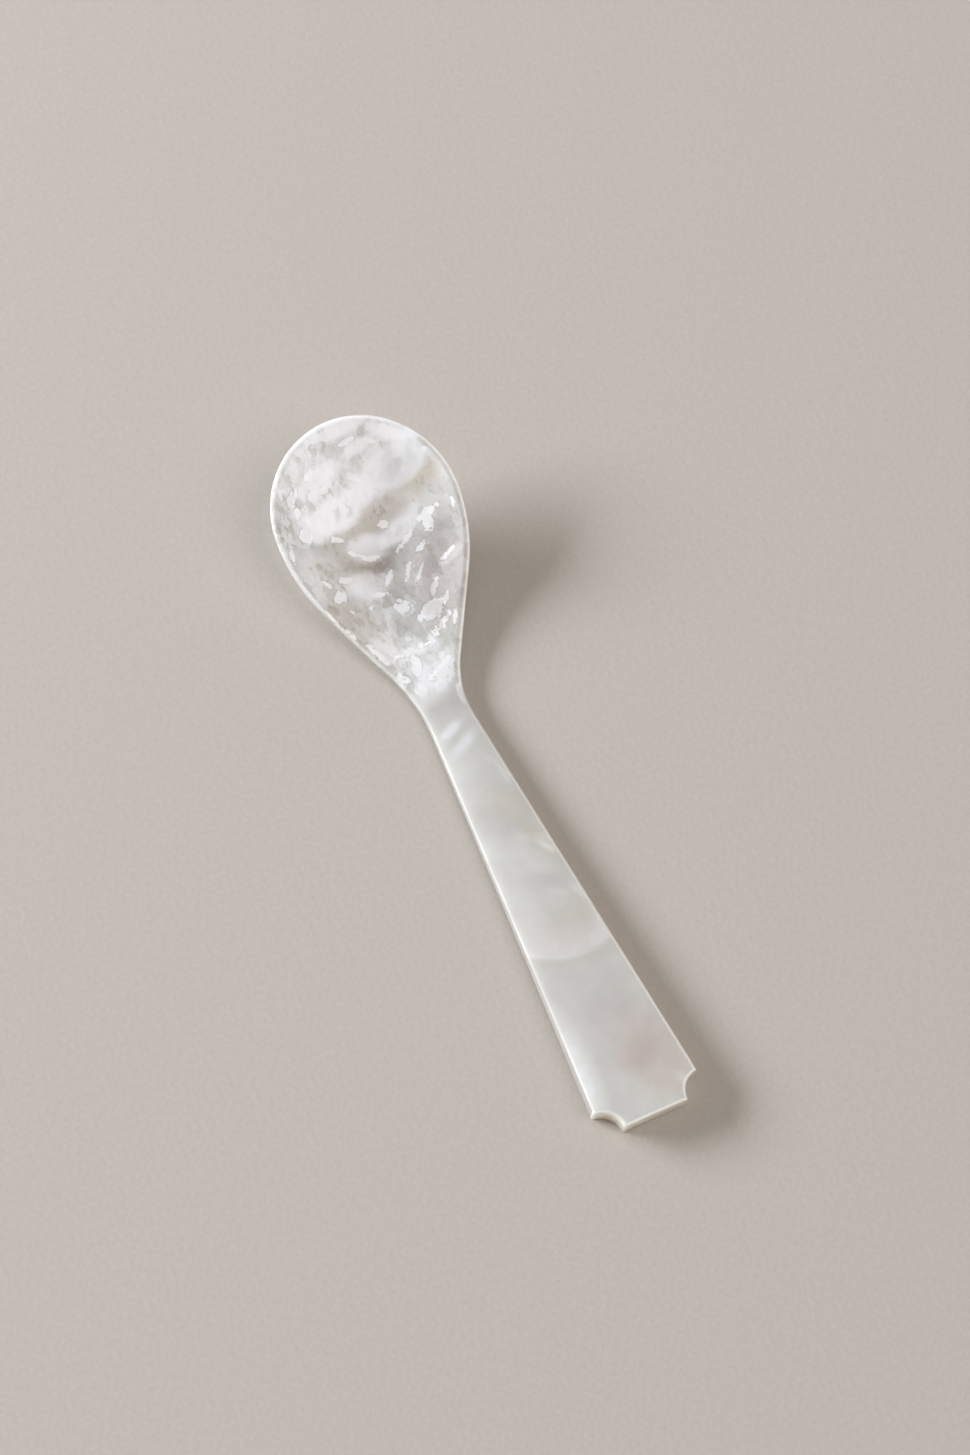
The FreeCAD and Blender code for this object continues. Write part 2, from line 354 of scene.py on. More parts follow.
def edge_thickness(x):
    """The handle's full height, thinned to the lip by a smooth step as the bowl rises."""
    back = np.minimum(x, 0.0)
    handle_edge = top_line(back) - keel_line(back)
    blend = rises(x, BEND_START, RISE_STATION)
    return handle_edge + (LIP_THICKNESS - handle_edge) * blend


def top_sheet(x, y):
    """The softer lower of two parabolas across: the crowned top and the ground hollow."""
    crown = TOP_CROWN + (RIM_CROWN - TOP_CROWN) * np.clip(x / RISE_STATION, 0.0, 1.0)
    rim = top_line(x) - crown * (y / half_width(x)) ** 2
    held = np.clip(x, HOLLOW_START / 2, BOWL_LENGTH - 2 * TIP_MARGIN)
    depth = top_line(held) - floor_line(held)
    hollow = floor_line(x) + depth * (y / (half_width(held) - LIP_WIDTH)) ** 2
    return soft_min(rim, hollow, HOLLOW_ROLL)


def under_sheet(x, y):
    """A parabola across that leaves the edge its thickness."""
    held = np.minimum(x, BOWL_LENGTH - TIP_MARGIN)
    lift = top_line(held) - edge_thickness(held) - keel_line(held)
    return keel_line(x) + lift * (y / half_width(held)) ** 2


# Surface

def half_shell(side):
    """What the grid of one side is made from.

    The outline as station and distance across, the radius of its top edge at each
    point, how far in and down each step of a quarter circle of radius 1 lies, and a
    function for the points at given distances inside the outline.
    """
    plan = half_outline(side)
    place = unbend(plan, side)
    step = np.gradient(place, axis=0)
    normal = np.stack([step[:, 1], -step[:, 0]], 1)
    normal[0], normal[-1] = (1.0, 0.0), (-1.0, 0.0)
    normal /= np.hypot(*normal.T)[:, None]

    handle = rises(place[:, 0], *EDGE_CHANGE)
    end = place[:, 0] < 0.5 * SCOOP_RADIUS - HANDLE_LENGTH
    long_edge = LIP_EDGE + (HANDLE_EDGE[side] - LIP_EDGE) * handle
    top_edge = edge_radius(place, np.where(end, END_EDGE, long_edge))
    angle = np.linspace(0.0, 0.5 * math.pi, EDGE_ROWS + 1)
    inset = 1 - np.sin(angle)
    drop = 1 - np.cos(angle)

    def at(amount):
        """Points the given distances inside the outline."""
        return place[:, None, :] + normal[:, None, :] * amount[:, :, None]

    return place, top_edge, inset, drop, at


def edge_radius(place, full):
    """The given radii, eased down to the corners' own by a smooth step as the scoop comes near."""
    corner = np.hypot(place[:, 0] + HANDLE_LENGTH, place[:, 1] - handle_half_width(-HANDLE_LENGTH))
    return CORNER_EDGE + (full - CORNER_EDGE) * smooth((corner - SCOOP_RADIUS) / CORNER_EASE)


def shell():
    """Both halves of the spoon: points, four-cornered faces turned outwards, and marks.

    Rows follow the outline. Columns run from the middle line out over the top, down a
    quarter circle to the wall, under it by another, and back to the middle line. The
    marks of a point are its station, its distance across, its distance inside the
    outline, how much it belongs to the wall, and 1 if it is on the underside.
    """
    halves = {side: half_shell(side) for side in (1, -1)}
    middle = 0.5 * (halves[1][0][:, 0] + halves[-1][0][:, 0])
    middle = np.clip(middle, END_POLE, WIDEST)
    points, faces, marks = [], [], []
    for side in (1, -1):
        place, top_edge, inset, drop, at = halves[side]
        ease = np.linspace(0.0, 1.0, TOP_ROWS)
        top_share = 1 - (1 - ease) ** TOP_CROWDING
        ease = np.linspace(1.0, 0.0, UNDER_ROWS)
        under_share = 1 - (1 - ease) ** UNDER_CROWDING
        hub = np.stack([middle, np.zeros_like(middle)], 1)[:, None, :]
        top_in = at(np.outer(top_edge, np.ones(1)))
        top = hub + (top_in - hub) * top_share[None, :, None]
        top_z = top_sheet(top[..., 0], side * top[..., 1])
        over = at(np.outer(top_edge, inset[1:]))
        over_z = top_sheet(over[..., 0], side * over[..., 1]) - np.outer(top_edge, drop[1:])
        low_edge = edge_radius(place, UNDER_EDGE)
        below = at(np.outer(low_edge, inset[:0:-1]))
        below_z = under_sheet(below[..., 0], side * below[..., 1])
        below_z = below_z + np.outer(low_edge, drop[:0:-1])
        wall = at(np.zeros((len(place), 1)))
        wall_z = 0.5 * (over_z[:, -1:] + below_z[:, :1])
        under_in = at(np.outer(low_edge, np.ones(1)))
        under = hub + (under_in - hub) * under_share[None, :, None]
        under_z = under_sheet(under[..., 0], side * under[..., 1])
        plan = np.concatenate([top, over, wall, below, under], 1)
        height = np.concatenate([top_z, over_z, wall_z, below_z, under_z], 1)
        x, y = bend(plan[..., 0], side * plan[..., 1])
        rows, columns = height.shape
        base = sum(len(p) for p in points)
        index = base + np.arange(rows * columns).reshape(rows, columns)
        quads = np.stack([index[:-1, :-1], index[1:, :-1], index[1:, 1:], index[:-1, 1:]], -1)
        quads = quads.reshape(-1, 4)
        points.append(np.stack([x, y, height], -1).reshape(-1, 3))
        faces.append(quads if side == 1 else quads[:, ::-1])
        edge = np.concatenate([np.zeros(TOP_ROWS), np.linspace(0, 1, EDGE_ROWS + 1)[1:], [1.0],
                               np.linspace(1, 0, EDGE_ROWS + 1)[:-1], np.zeros(UNDER_ROWS)])
        below_mark = np.concatenate([np.zeros(TOP_ROWS + EDGE_ROWS + 1),
                                     np.ones(EDGE_ROWS + UNDER_ROWS)])
        margin = np.linalg.norm(plan - place[:, None, :], axis=-1)
        marks.append(np.stack([plan[..., 0], side * plan[..., 1], margin,
                               np.broadcast_to(edge, height.shape),
                               np.broadcast_to(below_mark, height.shape)], -1).reshape(-1, 5))
    return np.concatenate(points), np.concatenate(faces), np.concatenate(marks)


# Soft ellipses, listed one by one: station, across, half length, half width, turn in degrees,
# amount.
# Clouds of the bowl and the neck, by how much milkier they are; two are painted light and painted
# shade on the hollow's walls
CLOUDS = (
    # The first cloud below brightens the hollow's left wall, which the window doesn't reach:
    # painted light
    (20.0, 7.4, 11.0, 4.6, 26, 0.17), (6.5, 0.6, 6.0, 4.4, 0, 0.03),
    # The first cloud below darkens the hollow's right wall, which faces the window: painted shade
    (20.0, -9.0, 11.0, 3.4, -24, -0.24), (37.5, -2.4, 8.5, 12.4, 0, 0.20),
    (34.0, -11.0, 5.0, 2.0, -10, -0.10), (41.4, 9.6, 5.0, 1.5, -48, 0.14),
    (45.6, 1.2, 5.4, 1.1, -88, 0.32), (43.2, -8.0, 4.0, 1.3, 58, 0.26),
    (32.8, 8.0, 2.6, 2.2, -60, 0.34), (34.4, 3.6, 3.4, 2.3, -70, 0.42),
    (36.8, -0.8, 2.4, 2.0, -55, 0.36), (38.2, -7.0, 4.2, 2.5, 88, 0.44),
    (37.8, -6.2, 1.8, 0.9, -60, -0.08), (39.4, 5.6, 4.2, 1.6, -66, 0.20),
    (42.6, -2.4, 2.6, 0.8, -78, 0.26), (28.0, 1.0, 3.3, 2.3, 84, 0.28),
    (29.0, -4.4, 3.4, 1.5, -74, 0.26), (22.2, 3.2, 3.3, 2.3, 74, 0.28),
    (3.4, 0.0, 5.0, 2.6, -56, 0.20), (10.6, 5.0, 2.2, 1.6, 30, 0.26),
    (9.6, 0.4, 3.4, 1.0, -84, 0.24), (11.4, -4.0, 2.4, 0.8, -50, 0.20),
    (22.2, -10.6, 2.2, 0.9, -66, 0.24), (33.2, -5.0, 7.6, 1.8, 108, -0.07),
    (31.0, 7.0, 6.0, 1.3, 92, -0.04), (24.9, 1.4, 3.6, 1.3, -84, -0.04),
    (25.6, 8.8, 2.2, 1.6, 30, -0.07), (18.4, 9.8, 4.4, 1.7, 24, -0.02),
    (13.4, 1.4, 2.4, 2.2, 0, -0.09), (17.4, 4.2, 1.8, 2.0, 0, -0.08),
    (0.2, -3.3, 1.8, 0.6, -8, 0.40),
)
# Wisps of the handle and the neck, in the same way but with softer rims
WISPS = (
    (-1.2, 0.4, 2.4, 3.4, 0, -0.12), (-5.0, 0.9, 1.9, 0.7, -64, 0.38),
    (-7.9, 0.0, 2.8, 1.0, -60, 0.24), (-6.6, 0.6, 2.4, 0.5, -62, -0.08),
    (-14.0, 0.6, 9.0, 3.4, 4, 0.05), (-11.6, 1.2, 3.4, 1.4, -70, 0.06),
    (-19.6, -1.6, 3.0, 2.0, 50, 0.06), (-22.6, 0.6, 4.0, 3.0, 30, -0.08),
    (-27.0, 1.0, 4.4, 1.6, 60, 0.06), (-26.2, -2.8, 2.6, 0.8, 66, 0.11),
    (-28.4, -4.2, 1.6, 0.6, 40, 0.20), (-31.0, -1.0, 3.4, 0.8, 66, 0.08),
    (-33.6, -3.0, 2.4, 1.6, 40, -0.06), (-36.8, -5.4, 1.8, 0.6, 24, 0.16),
    (-35.6, -2.4, 1.6, 0.5, 60, 0.08), (-14.6, -3.4, 1.8, 0.5, 6, 0.16),
    (-12.0, -2.6, 1.2, 0.5, 30, 0.10), (-34.0, 3.4, 9.0, 1.8, 4, 0.09),
    (-55.0, -1.0, 7.0, 5.0, 0, -0.05), (-64.0, 7.2, 7.0, 1.8, -6, 0.22),
    (-62.0, -3.0, 7.0, 5.0, 0, 0.05), (-70.4, -6.6, 2.0, 0.8, 30, 0.16),
)
# Crisp plates: the amount is 1 for a bright one and -1 for a dark one
FIGURES = (
    (17.0, -0.4, 1.5, 1.2, 70, 1), (14.9, -4.5, 2.4, 1.4, -62, 1), (11.3, -3.6, 0.8, 0.6, 20, 1),
    (11.8, 0.6, 1.0, 0.3, -66, 1), (12.1, -4.8, 0.6, 0.6, 0, -1), (5.4, 4.0, 1.3, 0.7, 40, 1),
    (6.8, 1.4, 1.9, 0.8, -20, 1), (5.2, -1.6, 3.2, 0.5, -60, 1), (7.8, -2.8, 1.5, 0.35, -55, -1),
    (10.4, 6.4, 2.2, 0.6, 26, 1), (9.4, 4.2, 1.6, 0.45, 78, 1), (9.9, -1.2, 1.9, 0.4, -80, 1),
    (12.2, -5.4, 1.8, 0.45, -48, 1), (7.6, 3.2, 0.9, 0.7, 0, -1), (14.5, 3.8, 1.0, 1.0, 0, -1),
    (16.5, 7.2, 1.2, 0.8, 30, -1), (19.2, 10.5, 1.2, 0.8, 24, -1), (21.2, 8.5, 1.3, 0.8, -30, 1),
    (23.5, 9.6, 0.9, 0.35, 40, 1), (23.8, 6.2, 1.3, 0.6, 80, 1), (18.3, 7.8, 0.6, 0.4, 0, 1),
    (18.5, 4.2, 1.1, 0.35, -60, 1), (20.2, 2.1, 1.2, 0.5, 80, 1), (22.5, -0.3, 1.7, 0.5, -36, 1),
    (25.0, -0.4, 1.3, 0.8, -80, -1), (25.2, 8.8, 1.1, 0.9, 0, -1), (26.8, 9.9, 0.8, 0.6, 0, -1),
    (19.3, -2.4, 1.3, 1.0, 0, -1), (22.3, -3.4, 2.6, 0.35, -34, 1), (21.6, -5.2, 1.9, 0.4, -36, 1),
    (22.8, -4.9, 1.4, 0.3, -34, -1), (27.5, -5.1, 3.0, 0.4, -55, 1), (28.2, -9.0, 1.3, 0.8, -20, 1),
    (26.4, -8.4, 0.9, 0.6, 0, -1), (22.6, -10.0, 1.5, 0.4, -66, 1), (19.0, -8.6, 0.6, 0.4, 0, -1),
    (29.4, -13.4, 0.9, 0.3, -8, 1), (27.4, -13.3, 1.2, 0.4, -8, -1), (14.9, 9.3, 1.2, 0.35, 26, 1),
    (18.2, 11.3, 1.3, 0.35, 24, 1), (28.9, 13.6, 1.5, 0.45, -8, 1), (43.7, -1.0, 1.6, 0.4, -80, 1),
    (42.9, -4.0, 1.4, 0.5, 76, 1), (43.8, 4.2, 1.6, 0.8, -80, -1), (32.2, 10.4, 1.2, 0.8, -50, 1),
    (37.6, 10.4, 1.6, 0.6, -40, 1), (37.8, -6.1, 1.3, 0.7, -60, -1), (31.0, -2.6, 1.0, 0.6, 80, 1),
    (16.4, -7.6, 1.0, 0.4, -28, 1), (12.4, -7.3, 1.4, 0.35, -30, 1), (27.6, 3.2, 1.4, 0.5, 60, 1),
    (26.4, 1.0, 1.5, 0.5, 84, 1), (30.6, 5.4, 1.3, 0.5, 70, 1), (33.2, 4.2, 1.6, 0.5, -68, 1),
    (37.0, -4.6, 1.6, 0.6, -76, 1), (36.6, -8.0, 1.4, 0.5, -80, 1), (31.6, 9.8, 1.2, 0.5, -64, 1),
    (35.4, 10.4, 1.3, 0.5, -50, 1), (38.4, 4.4, 1.5, 0.6, -60, 1), (40.6, 6.4, 1.2, 0.5, -50, 1),
    (18.6, -6.4, 1.6, 0.7, -40, 1), (25.6, -7.4, 1.6, 0.5, -70, 1), (30.0, -9.4, 1.8, 0.6, -80, 1),
    (-14.6, -4.3, 1.4, 0.3, -4, 1), (-27.0, -5.2, 0.9, 0.4, -4, 1), (-35.8, -6.1, 0.8, 0.35, -4, 1),
    (-45.0, -6.9, 0.6, 0.3, -4, 1), (-57.0, -7.8, 0.8, 0.3, -4, 1), (-62.5, -8.1, 0.6, 0.3, -4, -1),
)
# Cream and rose in the shell, by how strongly they tint it
CREAMS = (
    (33.0, -4.5, 10.0, 2.0, 108, 0.6), (25.5, 6.0, 6.0, 3.5, 80, 0.4),
    (-42.5, -1.0, 4.0, 8.0, 0, 0.26), (-28.0, -4.0, 5.0, 1.6, 20, 0.3),
    (-19.6, -1.8, 3.6, 2.4, 50, 0.36), (16.0, 7.6, 7.0, 3.0, 26, 0.5),
    (43.0, -4.0, 1.6, 0.9, 76, 0.5), (-66.0, -4.0, 7.0, 4.4, 0, 0.36),
    (-39.0, -5.0, 3.0, 1.4, 30, 0.12),
)
ROSES = (
    (-61.5, -2.4, 8.0, 5.4, 10, 0.34), (-63.6, -1.0, 2.4, 2.6, 40, 0.22),
    (24.9, 0.4, 2.4, 1.8, -80, 0.35), (20.0, -8.0, 8.0, 4.0, -26, 0.30),
    (-43.0, 0.0, 3.4, 7.0, 0, 0.16),
)
# Where the gleam and the small plates are calm, and where large plates hardly show
CALM = ((38.2, -7.0, 3.0, 4.6, 0, 0.8),)
PLAIN = ((19.5, 7.5, 6.0, 3.4, 0, 0.6),)


def spots(x, y, table, fade=1.0):
    """Sum of soft ellipses: half at the rim, with the given fade across it.

    The fade is a share of the ellipse's size.
    """
    total = np.zeros_like(x)
    for station, side, half_long, half_wide, turned, amount in table:
        turn = math.radians(turned)
        u = (x - station) * math.cos(turn) + (y - side) * math.sin(turn)
        v = (y - side) * math.cos(turn) - (x - station) * math.sin(turn)
        total += amount * smooth((1 - np.hypot(u / half_long, v / half_wide)) / fade + 0.5)
    return total


def growth(x, y, margin, edge, below):
    """What the shell is like at each place, by layer name.

    x and y are station and distance across, margin is the distance inside the
    outline, edge is 1 on the side wall and falls to 0 over its rounded edges, below
    is 1 on the underside.

    milk is how milky the shell is: a plain value with the clouds and wisps, two of
    them painted light and painted shade, more just past each growth line and fading
    behind it, more on the lip, painted shade where the rim rolls into the hollow,
    painted shade on the left wall that the window lights, and the sawn walls' and
    arrises' own cream with a painted glow. figure has the crisp plates. crumb and
    facet are how far small and large plates show, follow is how far the gleam follows
    the shell's own layers. warm, rose and sawn_glow are how strongly cream, rose and
    straw tint it; the straw is partly a painted warm glow.
    """
    bowl = rises(x, -1.0, 4.0)
    line = x - LINE_STATION - LINE_BEND * (y - LINE_ACROSS) ** 2
    seam = x - SEAM_STATION + SEAM_SLANT * y
    for height, pace, start in SEAM_RIPPLES:
        seam = seam + height * np.sin(pace * y + start)

    milk = PLAIN_MILK + BOWL_MILK * bowl
    milk += spots(x, y, CLOUDS, CLOUD_FADE) + spots(x, y, WISPS, WISP_FADE)
    milk += LINE_MILK * rises(line, -0.35, 0.35) * rises(line, 9.0, 1.0)
    past_seam = rises(seam, -0.45, 0.45) * rises(seam, 8.0, 2.0)
    milk += SEAM_MILK * past_seam * rises(np.abs(y), 14.0, 11.0)
    milk += bowl * LIP_MILK * rises(margin, 0.48, 0.18)
    # Painted shade in the crease where the rim rolls into the hollow
    milk += bowl * ROLL_SHADE * rises(np.abs(margin - ROLL_MARGIN), 0.35, 0.0)

    # The left wall, darkened as painted shade where the window lights it, starts at the shoulder
    # and turns into the sawn one round the tip
    change = NECK_CHANGE + (TIP_CHANGE - NECK_CHANGE) * rises(x, 30.0, 38.0)
    clear = rises(y, -0.5 * change, 0.5 * change)
    clear = clear * (x > SCOOP_RADIUS + CORNER_RADIUS - HANDLE_LENGTH)
    arris = rises(margin, 0.55, 0.33) * (1 - below) * (1 - clear)
    sawn_glow = np.maximum(edge * (1 - LIT_WALL_SHARE * clear), ARRIS_SHARE * arris)
    # Painted shade: less milk on the left wall, which the low window lights head-on
    milk += LIT_WALL_SHADE * edge * clear
    # Partly the sawn walls' own cream, partly a painted glow on the right wall, the end and their
    # arrises, which the window doesn't light
    milk += SAWN_GLOW_MILK * np.maximum(edge, arris) * (1 - 0.5 * bowl) * (1 - clear)

    # Small plates show past the seam, less so at the bowl's base, and hardly elsewhere.
    # Large ones show all over the bowl, but little in the band behind the seam
    calm = 1 - spots(x, y, CALM)
    tip_plates = rises(seam, -0.6, 0.9) * (0.35 + 0.65 * rises(x, 41.0, 38.0)) * calm
    base_plates = rises(x, 1.0, 4.0) * rises(x, 14.0, 11.0)
    band = rises(seam, -6.5, -5.0) * rises(seam, 0.5, -0.5)
    follow = bowl * (0.4 + 0.6 * calm) * (1 - below) * (1 - edge)
    return {"milk": milk,
            "figure": spots(x, y, FIGURES) * (1 - 0.7 * below) * (1 - edge),
            "crumb": bowl * np.clip(0.08 + 0.92 * tip_plates + 0.6 * base_plates, 0, 1),
            "follow": follow,
            "facet": follow * (1 - 0.8 * band - spots(x, y, PLAIN)),
            "warm": np.clip(spots(x, y, CREAMS), 0, 1),
            "rose": np.clip(spots(x, y, ROSES), 0, 1),
            "sawn_glow": sawn_glow,
            "edge": edge}


def weld(points, faces, marks):
    """Points that round to the same tenth of a micrometre become one; collapsed edges go."""
    _, first, index = np.unique(np.round(points, 4), axis=0, return_index=True, return_inverse=True)
    faces = index.reshape(-1)[faces]
    kept = faces != np.roll(faces, 1, axis=1)
    sizes = kept.sum(1)
    whole = sizes > 2
    return points[first], faces[whole][kept[whole]], sizes[whole], marks[first]


def add_mesh(name, points, corners, sizes):
    """A mesh object at the origin from points in millimetres, face corners and face sizes."""
    mesh = bpy.data.meshes.new(name)
    mesh.vertices.add(len(points))
    mesh.vertices.foreach_set("co", (points * MM).astype(np.float32).ravel())
    mesh.loops.add(len(corners))
    mesh.loops.foreach_set("vertex_index", corners.astype(np.int32))
    mesh.polygons.add(len(sizes))
    starts = np.concatenate([[0], np.cumsum(sizes)[:-1]])
    mesh.polygons.foreach_set("loop_start", starts.astype(np.int32))
    mesh.polygons.foreach_set("use_smooth", np.ones(len(sizes), bool))
    mesh.update(calc_edges=True)
    mesh.validate()
    made = bpy.data.objects.new(name, mesh)
    bpy.context.scene.collection.objects.link(made)
    return made


def colour(hex_value):
    """sRGB hex to a linear colour with full opacity."""
    parts = [int(hex_value[i:i + 2], 16) / 255 for i in (1, 3, 5)]
    return [c / 12.92 if c <= 0.04045 else ((c + 0.055) / 1.055) ** 2.4 for c in parts] + [1.0]


def node(tree, kind, out=0, **values):
    """Adds a node and returns one of its outputs, or the node if it has none.

    Each value sets the property of that name, or else the input of that name (a low
    line stands for a space) or number (i0, i1), as a constant or as a link.
    """
    made = tree.nodes.new(kind)
    for key, value in values.items():
        if hasattr(made, key):
            setattr(made, key, value)
            continue
        socket = made.inputs[int(key[1:]) if key[1:].isdigit() else key.replace("_", " ")]
        if isinstance(value, bpy.types.NodeSocket):
            tree.links.new(value, socket)
        else:
            socket.default_value = value
    return made.outputs[out] if made.outputs else made


def fill_ramp(made, stops):
    """Sets a colour ramp's stops from pairs of position and hex colour, in rising order."""
    elements = made.node.color_ramp.elements
    elements[0].position, elements[-1].position = stops[0][0], stops[-1][0]
    elements[0].color, elements[-1].color = colour(stops[0][1]), colour(stops[-1][1])
    for position, shade in stops[1:-1]:
        elements.new(position).color = colour(shade)


def new_material(name):
    """A material with an empty node tree."""
    made = bpy.data.materials.new(name)
    made.use_nodes = True
    made.node_tree.nodes.clear()
    return made


def nacre(names):
    """Mother-of-pearl, cut with a saw, ground and polished.

    Thin plates of aragonite lie at changing slants under the polish. A plate that
    leans to the light gleams white like satin, its neighbour looks grey and deep.
    The names are those of growth's layers.
    """
    made = new_material("mother_of_pearl_polished")
    tree = made.node_tree
    layer = {name: node(tree, "ShaderNodeAttribute", "Fac", attribute_name=name)
             for name in names}

    # Growth lines wander: every pattern below is read from slightly shifted places
    place = node(tree, "ShaderNodeTexCoord", "Object")
    in_mm = node(tree, "ShaderNodeVectorMath", operation="SCALE", i0=place, Scale=1 / MM)
    stray = node(tree, "ShaderNodeTexNoise", "Color", Vector=in_mm, Scale=WANDER_PACE,
                 Detail=3.0, Roughness=0.6)
    stray = node(tree, "ShaderNodeVectorMath", operation="SUBTRACT", i0=stray, i1=(MIDDLE,) * 3)
    stray = node(tree, "ShaderNodeVectorMath", operation="SCALE", i0=stray, Scale=WANDER)
    moved = node(tree, "ShaderNodeVectorMath", operation="ADD", i0=in_mm, i1=stray)
    turned = node(tree, "ShaderNodeMapping", Vector=moved, Rotation=(0.0, 0.0, PLATE_TURN),
                  Scale=PLATE_CROWDING)

    # Plates of two sizes, each with its own shade (red) and its own slant (all three)
    shade, lean = {}, {}
    for name, width in (("crumb", CRUMB), ("facet", FACET)):
        plates = node(tree, "ShaderNodeTexVoronoi", "Color", Vector=turned, Scale=1 / width)
        red = node(tree, "ShaderNodeSeparateColor", Color=plates)
        shade[name] = node(tree, "ShaderNodeMath", operation="SUBTRACT", i0=red, i1=MIDDLE)
        slant = node(tree, "ShaderNodeVectorMath", operation="SUBTRACT", i0=plates,
                     i1=(MIDDLE,) * 3)
        most = node(tree, "ShaderNodeMath", operation="MULTIPLY", i0=layer[name], i1=LEAN)
        lean[name] = node(tree, "ShaderNodeVectorMath", operation="SCALE", i0=slant, Scale=most)

    # Fine grain, and the slow change from clear to milky
    grain = node(tree, "ShaderNodeTexNoise", Vector=moved, Scale=1 / GRAIN, Detail=3.0,
                 Roughness=0.55)
    grain = node(tree, "ShaderNodeMath", operation="SUBTRACT", i0=grain, i1=MIDDLE)
    slow = node(tree, "ShaderNodeTexNoise", Vector=moved, Scale=SLOW_PACE, Detail=3.5,
                Roughness=0.6)
    slow = node(tree, "ShaderNodeMath", operation="SUBTRACT", i0=slow, i1=MIDDLE)

    # Crisp figures break along the plates; a bright one has a thin darker rim round it
    ragged = node(tree, "ShaderNodeMath", operation="MULTIPLY_ADD", i0=grain, i1=0.5,
                  i2=layer["figure"])
    ragged = node(tree, "ShaderNodeMath", operation="MULTIPLY_ADD", i0=shade["crumb"], i1=0.75,
                  i2=ragged)
    bright = node(tree, "ShaderNodeMapRange", Value=ragged, From_Min=0.44, From_Max=0.62)
    dark = node(tree, "ShaderNodeMapRange", Value=ragged, From_Min=-0.44, From_Max=-0.74)
    around = node(tree, "ShaderNodeMapRange", Value=ragged, From_Min=0.26, From_Max=0.40)
    rim = node(tree, "ShaderNodeMath", operation="SUBTRACT", i0=around, i1=bright)
    rim = node(tree, "ShaderNodeMath", operation="MULTIPLY", i0=rim, i1=layer["follow"])

    # How milky each point is: the layer, and a share of each thing that varies it
    small = node(tree, "ShaderNodeMath", operation="MULTIPLY", i0=shade["crumb"],
                 i1=layer["crumb"])
    large = node(tree, "ShaderNodeMath", operation="MULTIPLY", i0=shade["facet"],
                 i1=layer["facet"])
    fine = node(tree, "ShaderNodeMath", operation="MULTIPLY", i0=grain, i1=layer["facet"])
    level = layer["milk"]
    for part, amount in ((small, 0.36), (large, 0.24), (fine, 0.18), (slow, 0.34),
                         (rim, -0.16), (bright, 0.30), (dark, -0.12)):
        level = node(tree, "ShaderNodeMath", operation="MULTIPLY_ADD", i0=part, i1=amount,
                     i2=level)
    level.node.use_clamp = True
    tinted = node(tree, "ShaderNodeValToRGB", Fac=level)
    fill_ramp(tinted, TONES)

    # Cream, rose and the sawn walls' straw colour over the tone; the straw is partly a painted warm
    # glow
    for name, tint in TINTS:
        tinted = node(tree, "ShaderNodeMix", 2, data_type="RGBA", blend_type="MULTIPLY",
                      i0=layer[name], i6=tinted, i7=colour(tint))

    # The slants turn the gleam of the layers; the polish above them stays flat
    flat = node(tree, "ShaderNodeNewGeometry", "Normal")
    layers = node(tree, "ShaderNodeVectorTransform", Vector=LAYERS, vector_type="NORMAL",
                  convert_from="OBJECT", convert_to="WORLD")
    follow = node(tree, "ShaderNodeMath", operation="MULTIPLY", i0=layer["follow"],
                  i1=LEVEL_SHARE)
    facing = node(tree, "ShaderNodeMix", 1, data_type="VECTOR", i0=follow, i4=flat, i5=layers)
    for slant in lean.values():
        facing = node(tree, "ShaderNodeVectorMath", operation="ADD", i0=facing, i1=slant)
    facing = node(tree, "ShaderNodeVectorMath", operation="NORMALIZE", i0=facing)

    # The walls are duller, and the sawn ones show light that went in through the top
    matt = node(tree, "ShaderNodeMapRange", Value=layer["edge"], To_Min=0.3, To_Max=0.6)
    coat = node(tree, "ShaderNodeMapRange", Value=layer["edge"], To_Min=0.16, To_Max=0.0)
    glow = node(tree, "ShaderNodeMapRange", Value=layer["sawn_glow"], To_Min=0.55, To_Max=1.0)
    deep = node(tree, "ShaderNodeBsdfPrincipled", Base_Color=tinted, Roughness=matt, IOR=1.53,
                Subsurface_Weight=glow, Subsurface_Scale=MM, Subsurface_Radius=(3.5, 3.5, 3.5),
                Coat_Weight=coat, Coat_Roughness=0.06)
    satin = node(tree, "ShaderNodeBsdfAnisotropic", Color=colour(GLEAM), Roughness=0.42,
                 Normal=facing)
    share = node(tree, "ShaderNodeMapRange", Value=level, From_Min=0.45, To_Min=0.03,
                 To_Max=0.36)
    mixed = node(tree, "ShaderNodeMixShader", i0=share, i1=deep, i2=satin)
    node(tree, "ShaderNodeOutputMaterial", Surface=mixed)
    return made


def paper():
    """Paper board under the spoon: pressed fibres, uncoated, so mottled and without gleam."""
    made = new_material("matt_paper_board")
    tree = made.node_tree
    place = node(tree, "ShaderNodeTexCoord", "Object")
    fibres = node(tree, "ShaderNodeTexNoise", Vector=place, Scale=1 / (PAPER_FIBRE * MM),
                  Detail=2.0)
    fibre_tone = node(tree, "ShaderNodeValToRGB", Fac=fibres)
    fill_ramp(fibre_tone, PAPER_TONES)
    shader = node(tree, "ShaderNodeBsdfPrincipled", Base_Color=fibre_tone, Roughness=0.9,
                  Specular_IOR_Level=0.2)
    node(tree, "ShaderNodeOutputMaterial", Surface=shader)
    return made


# The spoon
points, corners, sizes, marks = weld(*shell())
spoon = add_mesh("nacre_spoon", points, corners, sizes)
layers = growth(*marks.T)
for name, values in layers.items():
    layer = spoon.data.attributes.new(name, "FLOAT", "POINT")
    layer.data.foreach_set("value", values.astype(np.float32))
spoon.data.materials.append(nacre(layers))
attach(spoon, "root")
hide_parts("spoon")

